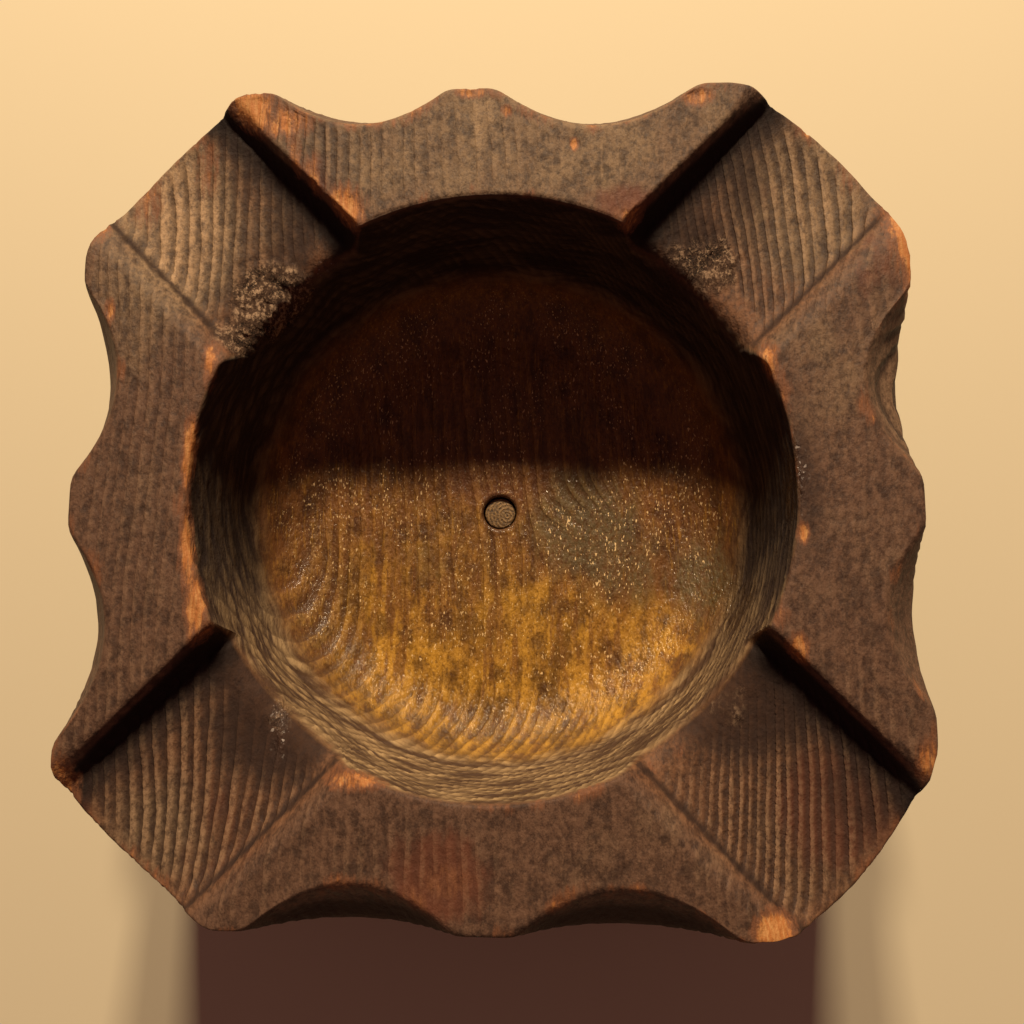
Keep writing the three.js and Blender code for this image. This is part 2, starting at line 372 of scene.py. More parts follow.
# ---- where the wood is worn, burnt, stained and rough -------------------------------------------
# Each place is a middle and half sizes in mm, and a strength.
WORN = [
    ((-53, 6, 60), (1.6, 7, 3), 1), ((-52.4, -10, 60), (1.8, 8, 3), 1), ((-50.5, -21, 60), (2, 6, 3), 1),
    ((-48.5, -28, 60), (3, 4, 3), 0.9), ((-50.4, 23, 59), (1.4, 5, 3), 0.8),
    ((-27, 51, 60), (4, 5, 3), 1), ((-33, 56, 60), (1.5, 6, 3), 0.8), ((-36.5, 61, 60), (1.3, 7, 3), 0.7),
    ((-45.5, 71, 60), (5, 5, 3), 1), ((-38, 69, 60), (5, 3.5, 3), 0.75),
    ((26, 49, 59), (3.5, 3, 3), 0.75), ((49, 22.5, 60), (2, 5, 3), 0.9), ((54, -8, 60), (1.2, 2, 2), 0.9),
    ((52.5, -28, 60), (2, 3, 3), 0.9), ((-22, -50, 59), (6, 2, 3), 0.8),
    ((74.5, 47, 57), (3.5, 11, 9), 0.95), ((75, 38, 59), (2, 5, 5), 0.9),
    ((47.5, -73.5, 58), (3.6, 3.4, 7), 1.2), ((-73.5, -53, 59), (2.5, 7, 6), 0.8),
    ((15.4, 63.2, 60), (0.8, 1.3, 1), 1), ((38, 72, 60), (3, 2, 3), 0.8), ((73, -46, 60), (2, 4, 4), 0.8),
    ((-69.5, 32, 60), (1, 3, 2), 0.8), ((-66, 58, 57), (3, 8, 4), 0.6),
    ((-3.5, 74, 60), (3, 1.5, 3), 0.8), ((3, 70, 60), (1, 1.3, 1), 0.8),
    ((-24, -67, 60), (3, 2, 3), 0.55), ((-6, -66, 60), (5, 3, 3), 0.42), ((66, 60, 57), (3, 5, 4), 0.5),
    ((-55, 62, 57), (3, 6, 4), 0.6),
]
REDDENED = [
    ((-8, -66, 60), (9, 8, 5), 1), ((59, -54, 55), (10, 10, 5), 1.1), ((-45, -60, 55), (12, 12, 6), 0.5),
    ((-73, -54, 55), (4, 9, 8), 0.9), ((-46, 66, 60), (8, 8, 5), 0.6), ((68, 40, 58), (6, 10, 8), 0.5),
    ((24, 52, 59), (8, 4, 4), 0.8), ((50, 55, 55), (12, 12, 6), 0.4), ((0, 7, 23), (20, 8, 5), 0.7),
    ((-33, 57, 60), (5, 8, 4), 0.6),
]
BURNT = [
    ((-41, 36, 54), (8, 8, 9), 1), ((-47, 30, 54), (5, 5, 7), 0.7), ((41, 42, 54), (7, 6, 8), 0.66),
    ((36, 44, 54), (4, 4, 7), 0.45), ((-37, -40, 54), (4, 6, 6), 0.42), ((42, -38, 54), (6, 6, 7), 0.4),
]
# Soot, and painted shade: the two spots at y = -74 mm shade the -Y scoops, which face away from the lamps.
SOOT_AND_SHADE_SPOTS = [
    ((-38, 46, 54), (5, 18, 6), 0.7), ((-44, 66, 54), (6, 10, 6), 0.6), ((37, 47, 54), (6, 12, 6), 0.8),
    ((46, 60, 54), (5, 12, 6), 0.7), ((-46, -30, 54), (9, 7, 6), 1.1), ((-38, -42, 54), (11, 9, 6), 1.3),
    ((-66, -46, 54), (8, 6, 5), 0.7), ((44, -36, 54), (13, 10, 6), 1.35), ((64, -52, 54), (8, 8, 5), 0.6),
    ((-44, 34, 54), (8, 8, 8), 0.5), ((40, 40, 54), (8, 8, 8), 0.4), ((54, 2, 58), (4, 14, 5), 0.7),
    ((-22, -74, 54), (24, 4, 6), 1.2), ((22, -74, 54), (24, 4, 6), 1.2),
]
OCHRE = [
    ((5, -42, 28), (28, 12, 10), 1.25), ((-18, -36, 26), (16, 13, 10), 0.95),
    ((6, -24, 23), (18, 10, 6), 0.8), ((-24, -20, 23), (12, 12, 6), 0.6),
    ((30, -30, 26), (12, 12, 8), 0.7), ((-12, -12, 23), (24, 14, 4), 0.35),
]
STAINED = [
    ((18, -3, 23), (11, 10, 4), 1.25), ((26, -11, 23), (10, 9, 4), 0.8), ((-15, -11, 23), (6, 5, 4), 0.5),
    ((43, -14, 26), (7, 9, 6), 1.0), ((15.5, 5, 23), (6, 5, 4), 0.9),
]
DUSTY = [
    ((0, 64, 60), (50, 14, 5), 0.85), ((-64, 48, 57), (14, 26, 8), 0.75),
    ((60, 30, 60), (16, 26, 6), 0.35), ((-60, 50, 54), (11, 16, 5), 1.7),
    ((-44, 56, 54), (10, 12, 5), 0.6), ((58, 55, 54), (13, 15, 5), 1.15),
    ((-64, 0, 60), (10, 30, 5), 0.2), ((62, -20, 60), (12, 30, 5), 0.2),
    ((30, -60, 60), (18, 8, 5), 0.28), ((-58, -60, 55), (10, 10, 5), 0.8),
    ((56, -60, 55), (10, 10, 5), 0.5),
]
RIDGED = [
    ((-52, 52, 55), (26, 26, 12), 0.7), ((-36, 62, 60), (14, 14, 8), 0.7),
    ((52, 52, 55), (22, 26, 5.5), 0.8), ((-52, -52, 55), (26, 26, 5.5), 1),
    ((55, -55, 55), (22, 26, 5.5), 1), ((-8, 64, 60), (26, 12, 8), 0.3),
    ((-63, 0, 60), (12, 40, 8), 0.28), ((-36, -22, 27), (10, 22, 9), 0.75),
    ((-8, -44, 28), (34, 12, 10), 0.65), ((0, 0, 23), (36, 36, 10), 0.46), ((74, 20, 54), (9, 16, 12), 1),
    ((-12, -66, 60), (16, 8, 6), 0.4),
]
TARRED = [
    ((-37, -41, 54), (2, 8, 5), 0.7), ((-30, 41, 54), (5, 4, 6), 0.7), ((53, 1, 57), (2.5, 9, 6), 0.8),
    ((48, -20, 32), (6, 9, 12), 0.8), ((36, -36, 40), (9, 9, 14), 0.4), ((43, 20, 59), (5, 5, 5), 0.3),
]
KNOT = (23, -10, 23)  # mm


def spots(points, places):
    """The strongest of some soft spots at each point, fading out from 0.5 to 1.5 times their sizes."""
    field = np.zeros(len(points))
    for middle, size, strength in places:
        away = np.linalg.norm((points / MM - middle) / size, axis=1)
        field = np.maximum(field, strength * np.clip(1.5 - away, 0, 1))
    return field


def keep_fields(mesh, rings):
    """Writes on the mesh how worn, burnt, stained, dusty and ridged the wood is at each point.

    Painted shade darkens the bowl wall from +Y down to y = -8 mm and fades out by -38 mm: that half lies in
    the lamp's shadow.
    Painted shadow also lies in each groove beside its wall nearer +Y, where that wall's shadow falls; the
    wood's own colour there can only be guessed.
    """
    points, edge = np.split(np.concatenate(rings), [3], axis=1)
    radius = np.hypot(points[:, 0], points[:, 1])
    level = points[:, 2]
    bowl = 1 - smooth_step(RIM_RADIUS - 0.1 * MM, RIM_RADIUS + 1 * MM, radius)
    under = 1 - smooth_step(BASE, BASE + 3 * MM, level)
    outside_face = (1 - smooth_step(TOP - 14 * MM, TOP - 6 * MM, level)) * (1 - bowl) * (1 - under)
    wall = bowl * smooth_step(FLOOR + 5 * MM, FLOOR + 11 * MM, level)
    hole = 1 - smooth_step(PILOT_RADIUS, PILOT_RADIUS + 1.5 * MM, radius)
    bare = (1 - hole) * (1 - under)
    ridged = np.maximum.reduce([spots(points, RIDGED), 0.1 + 0 * level, 0.6 * outside_face, 0.6 * wall])
    ridged *= 1 - 0.9 * np.clip(spots(points, [(KNOT, (13, 11, 8), 1)]), 0, 1)
    _, across, sheltered = groove_place(points[:, 0], points[:, 1])
    steep = smooth_step(GROOVE_HALF - 1 * MM, GROOVE_HALF, across)
    steep *= 1 - smooth_step(GROOVE_HALF + GROOVE_FLARE, GROOVE_HALF + GROOVE_FLARE + 2 * MM, across)
    steep *= smooth_step(TOP - 9 * MM, TOP - 7 * MM, level) * (1 - bowl)
    ridged *= (1 - 0.75 * steep) * (1 - 0.85 * edge[:, 0])
    crease = np.clip(1 - np.abs(across - GROOVE_HALF + GROOVE_SOFTNESS) / (1.1 * MM), 0, 1)
    in_groove = smooth_step(TOP - 1 * MM, TOP - 3 * MM, level)
    in_groove *= smooth_step(TOP - 9 * MM, TOP - 7 * MM, level)
    in_groove *= smooth_step(GROOVE_HALF + 3 * MM, GROOVE_HALF, across)
    # Painted shadow: within 10 mm of each groove's wall nearer +Y, where that wall casts its shadow.
    groove_painted_shadow = sheltered * smooth_step(GROOVE_HALF - 10 * MM, GROOVE_HALF, across)
    # Painted shade: the bowl wall is darkened on its +Y half, which lies in the lamp's shadow.
    wall_painted_shade = wall * smooth_step(-38 * MM, -8 * MM, points[:, 1])
    fields = {
        "wall_painted_shade": wall_painted_shade,
        "tarred": spots(points, TARRED),
        "groove_painted_shadow": in_groove * groove_painted_shadow * (1 - bowl),
        "ridged": ridged * bare,
        "carved": bare,
        "worn": spots(points, WORN),
        "reddened": spots(points, REDDENED),
        "burnt": spots(points, BURNT),
        # Soot and painted shade: the spots, painted shade in the crease at the foot of each steep groove
        # side, and painted shadow beside each groove's wall nearer +Y.
        "soot_and_shade": np.maximum(spots(points, SOOT_AND_SHADE_SPOTS), in_groove * np.maximum(crease, groove_painted_shadow)) * (1 - bowl),
        "groove": in_groove,
        "ochre": spots(points, OCHRE) * bowl,
        "stained": spots(points, STAINED) * bowl,
        "dusty": spots(points, DUSTY) * (1 - bowl) * (1 - outside_face),
        "bowl": bowl,
        "outside": outside_face,
        "under": under,
        "wall": wall,
        "glossy": bowl * smooth_step(FLOOR + 7 * MM, FLOOR + 1.5 * MM, level),
        "edge": edge[:, 0],
        "hole": 1 - smooth_step(PILOT_RADIUS, PILOT_RADIUS + 1.3 * MM, radius),
    }
    for name, values in fields.items():
        kept = mesh.attributes.new(name, "FLOAT", "POINT")
        kept.data.foreach_set("value", values.astype(np.float32))


# ---- node helper --------------------------------------------------------------------------------
class Wires:
    """Adds nodes to a shader or geometry tree and joins them up."""

    def __init__(self, tree):
        self.tree = tree
        self.is_shader = tree.bl_idname == "ShaderNodeTree"

    def feed(self, socket, value):
        if isinstance(value, bpy.types.NodeSocket):
            self.tree.links.new(value, socket)
        else:
            socket.default_value = value

    def add(self, kind, inputs=None, **settings):
        node = self.tree.nodes.new(kind)
        for name, value in settings.items():
            setattr(node, name, value)
        for name, value in (inputs or {}).items():
            self.feed(node.inputs[name], value)
        return node

    def math(self, operation, *values, clamp=False):
        node = self.add("ShaderNodeMath", dict(enumerate(values)), operation=operation, use_clamp=clamp)
        return node.outputs[0]

    def times(self, *values):
        product = values[0]
        for value in values[1:]:
            product = self.math("MULTIPLY", product, value)
        return product

    def plus(self, *values):
        total = values[0]
        for value in values[1:]:
            total = self.math("ADD", total, value)
        return total

    def minus(self, first, second):
        return self.math("SUBTRACT", first, second)

    def rest(self, share):
        return self.math("SUBTRACT", 1.0, share)

    def vector(self, operation, *values):
        node = self.add("ShaderNodeVectorMath", dict(enumerate(values)), operation=operation)
        return node.outputs[0]

    def scale(self, vector, factor):
        node = self.add("ShaderNodeVectorMath", {0: vector, "Scale": factor}, operation="SCALE")
        return node.outputs[0]

    def step(self, value, low, high, start=0.0, end=1.0):
        """A smooth step from start, where the value is low, to end, where it is high."""
        inputs = {"Value": value, "From Min": low, "From Max": high, "To Min": start, "To Max": end}
        node = self.add("ShaderNodeMapRange", inputs, interpolation_type="SMOOTHSTEP")
        return node.outputs["Result"]

    def noise(self, place, stretch, detail=2.0, roughness=0.5, seed=0.0):
        """Smooth noise from 0 to 1 whose lumps are about stretch = (x, y, z) mm across."""
        scaled = self.vector("DIVIDE", place, tuple(float(s) for s in stretch))
        shifted = self.vector("ADD", scaled, (seed, seed * 1.7, seed * 0.6))
        inputs = {"Vector": shifted, "Scale": 1.0, "Detail": detail, "Roughness": roughness}
        return self.add("ShaderNodeTexNoise", inputs).outputs[0]

    def mix(self, share, first, second):
        node = self.add("ShaderNodeMix", data_type="RGBA")
        self.feed(node.inputs[0], share)
        self.feed(node.inputs[6], first if isinstance(first, bpy.types.NodeSocket) else (*first, 1))
        self.feed(node.inputs[7], second if isinstance(second, bpy.types.NodeSocket) else (*second, 1))
        return node.outputs[2]

    def field(self, name):
        """A named attribute of the mesh."""
        if self.is_shader:
            return self.add("ShaderNodeAttribute", attribute_name=name).outputs["Fac"]
        return self.add("GeometryNodeInputNamedAttribute", {"Name": name}, data_type="FLOAT").outputs[0]

    def place(self):
        """Where a point is on the object, in mm."""
        if self.is_shader:
            metres = self.add("ShaderNodeTexCoord").outputs["Object"]
        else:
            metres = self.add("GeometryNodeInputPosition").outputs[0]
        return self.scale(metres, 1 / MM)


# ---- the wood, as fields in space ---------------------------------------------------------------
PITH = (85.0, 110.0)  # mm, x and z: the heart of the tree lay above and right of the bowl
RING_THICKNESS = 2.0
CLOSE_RINGS = 15.0  # how many more rings the slower growth fits in towards +X


def ring_field(wires, place):
    """0 in the soft early wood of each annual ring, rising to 1 on its hard late wood."""
    x, y, z = wires.add("ShaderNodeSeparateXYZ", {0: place}).outputs
    lean = wires.plus(wires.step(x, 15.0, 45.0, 0.0, 0.2), wires.step(z, 25.0, 50.0, 0.1, 0.0))
    sway = wires.times(wires.minus(wires.noise(place, (30, 90, 30), detail=1.0), 0.5), 10.0)
    leaning = wires.times(lean, wires.math("MAXIMUM", y, -10.0))
    across = wires.plus(wires.minus(x, PITH[0]), leaning, sway)
    above = wires.minus(z, PITH[1])
    from_pith = wires.math("SQRT", wires.plus(wires.times(across, across), wires.times(above, above)))
    knot_middle = tuple(float(v) for v in KNOT)
    away = wires.add("ShaderNodeVectorMath", {0: place, 1: knot_middle}, operation="DISTANCE")
    knot = wires.step(away.outputs["Value"], 0.0, 20.0, 4.0, 0.0)
    close = wires.step(x, 10.0, 90.0, 0.0, -CLOSE_RINGS)
    wobble = wires.times(wires.minus(wires.noise(place, (4, 12, 4), detail=3.0, seed=3.0), 0.5), 0.55)
    count = wires.plus(wires.math("DIVIDE", from_pith, RING_THICKNESS), knot, close, wobble)
    through = wires.math("FRACT", count)
    year = wires.add("ShaderNodeTexWhiteNoise", {"W": wires.math("FLOOR", count)}, noise_dimensions="1D")
    strength = wires.plus(wires.times(year.outputs["Value"], 0.4), 0.6)
    rise = wires.step(through, 0.15, 0.72)
    return wires.times(rise, wires.step(through, 0.84, 1.0, 1.0, 0.0), strength)


def char_field(wires, place):
    """Crumbled char: 0 in its cracks and pits, up to 1 on what stands between them."""
    lumps = wires.noise(place, (1.8, 2.8, 1.8), detail=6.0, roughness=0.7, seed=21.0)
    swirl = wires.add("ShaderNodeTexNoise", {"Vector": wires.scale(place, 0.3), "Detail": 4.0}).outputs[1]
    bent = wires.vector("DIVIDE", wires.vector("ADD", place, wires.scale(swirl, 8.0)), (4.5, 3.2, 4.5))
    cells = wires.add("ShaderNodeTexVoronoi", {"Vector": bent, "Scale": 1.0}, feature="DISTANCE_TO_EDGE")
    unbroken = wires.step(cells.outputs["Distance"], 0.0, 0.1)
    whole = wires.step(wires.noise(place, (7, 7, 7), seed=4.0), 0.56, 0.44)
    unbroken = wires.math("MAXIMUM", unbroken, whole)
    return wires.times(wires.step(lumps, 0.22, 0.7), unbroken)


def streaks(wires, place):
    """Torn streaks that run round the bowl's wall."""
    bent = wires.noise(place, (18, 18, 18), detail=1.0, seed=83.0)
    raised = wires.add("ShaderNodeCombineXYZ", {2: wires.times(bent, 10.0)}).outputs[0]
    return wires.noise(wires.vector("ADD", place, raised), (9, 9, 1.7), detail=4.0, roughness=0.6, seed=81.0)


def wear_field(wires, place):
    """How far the burnt skin is rubbed or knocked off, from 0 to above 1, ragged along the grain."""
    ragged = wires.noise(place, (0.8, 4.0, 0.8), detail=4.0, roughness=0.65, seed=7.0)
    broad = wires.noise(place, (5, 9, 5), detail=2.0, seed=17.0)
    # Less edge wear where soot and painted shade lie.
    clear_of_soot_and_shade = wires.step(wires.field("soot_and_shade"), 0.2, 0.8, 1.0, 0.1)
    edge = wires.times(wires.field("edge"), wires.step(broad, 0.42, 0.7, 0.1, 0.62), clear_of_soot_and_shade)
    strength = wires.math("MAXIMUM", wires.field("worn"), edge)
    ragged = wires.times(wires.minus(ragged, 0.5), wires.step(strength, 0.0, 0.4, 0.0, 1.5))
    return wires.plus(strength, ragged)


# ---- relief of the brushed grain ----------------------------------------------------------------
RELIEF_SIZES = {
    "Ring depth": 0.45,  # mm that the soft wood lies under the hard ridges
    "Carving depth": 0.3,  # mm of unevenness left by the gouge
    "Char depth": 1.3,  # mm that the burnt ends have crumbled
    "Chip depth": 0.3,
    "Tear depth": 0.5,
}


def brushed_relief(wood):
    """Geometry nodes that sink the soft wood, the char and the chips into a smooth carved shape."""
    tree = bpy.data.node_groups.new("brushed_relief", "GeometryNodeTree")
    tree.interface.new_socket("Geometry", in_out="INPUT", socket_type="NodeSocketGeometry")
    for name in RELIEF_SIZES:
        tree.interface.new_socket(name, in_out="INPUT", socket_type="NodeSocketFloat")
    tree.interface.new_socket("Geometry", in_out="OUTPUT", socket_type="NodeSocketGeometry")
    wires = Wires(tree)
    given = wires.add("NodeGroupInput").outputs
    place = wires.place()
    soft = wires.times(wires.rest(ring_field(wires, place)), wires.field("ridged"), given["Ring depth"])
    gouged = wires.noise(place, (8, 14, 8), detail=2.0, seed=15.0)
    gouged = wires.times(gouged, wires.field("carved"), given["Carving depth"])
    char = wires.times(wires.rest(char_field(wires, place)), wires.field("burnt"), given["Char depth"])
    chip = wires.times(wires.step(wear_field(wires, place), 0.5, 0.85), wires.field("carved"))
    torn = wires.times(wires.rest(streaks(wires, place)), wires.field("wall"), given["Tear depth"])
    sunk = wires.plus(soft, gouged, char, wires.times(chip, given["Chip depth"]), torn)
    normal = wires.add("GeometryNodeInputNormal").outputs[0]
    offset = wires.scale(normal, wires.times(sunk, -MM))
    moved = wires.add("GeometryNodeSetPosition", {"Geometry": given["Geometry"], "Offset": offset})
    real = wires.add("GeometryNodeRealizeInstances", {"Geometry": moved.outputs[0]})
    done = wires.add("GeometryNodeSetMaterial", {"Geometry": real.outputs[0], "Material": wood})
    wires.add("NodeGroupOutput", {"Geometry": done.outputs[0]})
    return tree


def baked(piece, tree, sizes):
    """The piece as a plain mesh, once a tree of geometry nodes with these named sizes has shaped it."""
    modifier = piece.modifiers.new(tree.name, "NODES")
    modifier.node_group = tree
    for item in tree.interface.items_tree:
        if item.in_out == "INPUT" and item.name in sizes:
            modifier[item.identifier] = sizes[item.name]
    result = bpy.data.meshes.new_from_object(piece.evaluated_get(bpy.context.evaluated_depsgraph_get()))
    piece.modifiers.remove(modifier)
    piece.data = result
    result.name = piece.name
    return piece


def new_piece(name, mesh):
    piece = bpy.data.objects.new(name, mesh)
    bpy.context.scene.collection.objects.link(piece)
    return piece


# ---- finishes -----------------------------------------------------------------------------------
DUST_BROWN = (0.26, 0.175, 0.10)
DUST_TAN = (0.55, 0.36, 0.20)
DUST_PALE = (0.34, 0.22, 0.13)
SMOKED_BROWN = (0.155, 0.084, 0.052)
GROOVE_BROWN = (0.205, 0.098, 0.049)
# Smoke-darkened wood; also used for painted shade in the pilot hole and with the soot.
SMOKE_AND_SHADE_DARK = (0.030, 0.016, 0.012)
BARE_ORANGE = (0.44, 0.165, 0.046)
BARE_PALE = (0.58, 0.30, 0.11)
RUBBED_RUST = (0.22, 0.09, 0.042)
SCORCHED_RED = (0.155, 0.052, 0.027)
CHAR_BLACK = (0.008, 0.006, 0.005)
CHAR_CRUMB = (0.44, 0.30, 0.19)
CHAR_BROWN = (0.085, 0.046, 0.027)
# Painted shadow beside the groove walls nearer +Y.
PAINTED_SHADOW_BLACK = (0.010, 0.006, 0.005)
# Painted glints on the tar beads.
PAINTED_GLINT_GREY = (0.62, 0.55, 0.50)
CINDER_SPACING = (5.0, 6.2, 5.0)  # mm between the cinder spots on the bowl floor
BOWL_BROWN = (0.20, 0.08, 0.02)
BOWL_OCHRE = (0.60, 0.31, 0.034)
BOWL_SPOT = (0.055, 0.02, 0.007)
BOWL_VALLEY = (0.07, 0.033, 0.011)
BOWL_CREST = (0.36, 0.22, 0.06)
# Painted glints on the varnished floor.
BOWL_PAINTED_GLINT = (1.0, 0.72, 0.36)
WALL_BROWN = (0.085, 0.050, 0.033)
WALL_PALE = (0.49, 0.34, 0.175)
# Painted shade for the +Y half of the bowl wall.
PAINTED_WALL_SHADE = (0.014, 0.010, 0.011)
STAIN_GREY = (0.115, 0.088, 0.042)
SIDE_BROWN = (0.13, 0.062, 0.036)
PLUG_BROWN = (0.15, 0.085, 0.03)
PLUG_PALE = (0.30, 0.18, 0.07)
PLUG_GRIME = (0.05, 0.03, 0.015)
FELT_DARK = (0.012, 0.035, 0.018)
FELT_GREEN = (0.035, 0.095, 0.045)
FELT_FADED = (0.06, 0.08, 0.045)


def finish(name, **settings):
    """A material with its principled shader, whose constants are set on its own sockets."""
    material = bpy.data.materials.new(name)
    material.use_nodes = True
    wires = Wires(material.node_tree)
    surface = material.node_tree.nodes["Principled BSDF"]
    for socket, value in settings.items():
        surface.inputs[socket.replace("_", " ")].default_value = value
    return material, wires, surface


def smoked_top(wires, place, noises):
    """The top and the grooves: blotched smoked brown, under pale dust that lies along the fibres, with
    painted shade and painted glints.
    """
    fibre, mottle, grit, patch = noises
    blotch = wires.noise(place, (2.0, 3.0, 2.0), detail=4.0, roughness=0.65, seed=61.0)
    dust = wires.plus(wires.field("dusty"), wires.times(wires.minus(mottle, 0.5), 1.3))
    smoked = wires.mix(wires.field("groove"), SMOKED_BROWN, GROOVE_BROWN)
    top = wires.mix(wires.step(dust, 0.1, 1.1), smoked, DUST_BROWN)
    top = wires.mix(wires.step(dust, 0.8, 1.7), top, DUST_TAN)
    top = wires.mix(wires.times(wires.step(blotch, 0.54, 0.36), 0.6), top, SMOKE_AND_SHADE_DARK)
    dust_line = wires.times(wires.step(fibre, 0.54, 0.75), wires.step(dust, 0.0, 1.0, 0.12, 0.5))
    top = wires.mix(dust_line, top, DUST_PALE)
    top = wires.mix(wires.times(wires.step(grit, 0.6, 0.32), 0.6), top, SMOKE_AND_SHADE_DARK)
    red = wires.plus(wires.field("reddened"), wires.times(wires.minus(patch, 0.5), 1.2))
    top = wires.mix(wires.times(wires.step(red, 0.35, 0.9), 0.85), top, SCORCHED_RED)
    # Soot and painted shade darken the top.
    soot_and_shade_share = wires.plus(wires.field("soot_and_shade"), wires.times(wires.minus(patch, 0.5), 0.9))
    top = wires.mix(wires.times(wires.step(soot_and_shade_share, 0.1, 0.9), 0.85), top, SMOKE_AND_SHADE_DARK)
    # Painted shadow darkens each groove beside its wall nearer +Y.
    groove_painted_shadow = wires.plus(wires.field("groove_painted_shadow"), wires.times(wires.minus(patch, 0.5), 0.3))
    top = wires.mix(wires.times(wires.step(groove_painted_shadow, 0.1, 0.9), 0.9), top, PAINTED_SHADOW_BLACK)
    # Painted highlights: small pale glints where the tar lies.
    painted_tar_glint = wires.noise(place, (0.7, 0.9, 0.7), detail=1.0, seed=73.0)
    painted_tar_glint = wires.times(wires.step(painted_tar_glint, 0.64, 0.7), wires.step(wires.field("tarred"), 0.2, 0.7))
    top = wires.mix(wires.times(painted_tar_glint, 0.8), top, PAINTED_GLINT_GREY)
    side = wires.mix(wires.step(mottle, 0.25, 0.7, 0.25, 1.0), SMOKE_AND_SHADE_DARK, SIDE_BROWN)
    return wires.mix(wires.field("outside"), top, side)


def varnished_bowl(wires, place, noises):
    """Bowl: ochre and brown under old varnish, spotted by cinders and painted glints, with dark streaked
    walls.
    """
    fibre, mottle, grit, patch = noises
    pale = wires.plus(wires.field("ochre"), wires.times(wires.minus(patch, 0.5), 1.3))
    bowl = wires.mix(wires.step(pale, 0.0, 0.95), BOWL_BROWN, BOWL_OCHRE)
    smoky = wires.noise(place, (5, 11, 5), detail=4.0, roughness=0.6, seed=91.0)
    bowl = wires.mix(wires.times(wires.step(smoky, 0.47, 0.62), 0.68), bowl, BOWL_SPOT)
    banded = wires.noise(place, (2.6, 16, 2.6), detail=3.0, roughness=0.6, seed=95.0)
    bowl = wires.mix(wires.times(wires.step(banded, 0.48, 0.62), 0.75), bowl, BOWL_BROWN)
    bowl = wires.mix(wires.times(wires.step(fibre, 0.5, 0.7), 0.4), bowl, BOWL_OCHRE)
    spaced = wires.vector("DIVIDE", place, CINDER_SPACING)
    cells = wires.add("ShaderNodeTexVoronoi", {"Vector": spaced, "Scale": 1.0})
    chance = wires.add("ShaderNodeSeparateXYZ", {0: cells.outputs["Color"]}).outputs[0]
    spot = wires.plus(cells.outputs["Distance"], wires.times(wires.minus(grit, 0.5), 0.6))
    spot = wires.times(wires.step(spot, 0.56, 0.06), wires.step(chance, 0.1, 0.6))
    bowl = wires.mix(wires.times(spot, 0.74), bowl, BOWL_SPOT)
    red = wires.plus(wires.field("reddened"), wires.times(wires.minus(patch, 0.5), 0.8))
    bowl = wires.mix(wires.times(wires.step(red, 0.4, 0.9), 0.7), bowl, SCORCHED_RED)
    grey = wires.plus(wires.field("stained"), wires.times(wires.minus(patch, 0.5), 1.6))
    grey = wires.times(wires.step(grey, 0.1, 1.0), wires.step(grit, 0.3, 0.6, 0.35, 0.9))
    bowl = wires.mix(grey, bowl, STAIN_GREY)
    bowl = wires.mix(wires.times(wires.step(grit, 0.55, 0.3), 0.55), bowl, BOWL_SPOT)
    # Painted highlights: small pale glints scattered over the glossy floor.
    painted_glint = wires.noise(place, (0.36, 0.9, 0.36), detail=1.0, seed=71.0)
    painted_glint = wires.times(wires.step(painted_glint, 0.645, 0.71), wires.step(mottle, 0.42, 0.56))
    painted_glint = wires.times(painted_glint, wires.field("glossy"))
    bowl = wires.mix(wires.times(painted_glint, 0.85), bowl, BOWL_PAINTED_GLINT)
    streak = streaks(wires, place)
    wall = wires.mix(wires.step(streak, 0.38, 0.68), WALL_BROWN, WALL_PALE)
    return wires.mix(wires.field("wall"), bowl, wall)


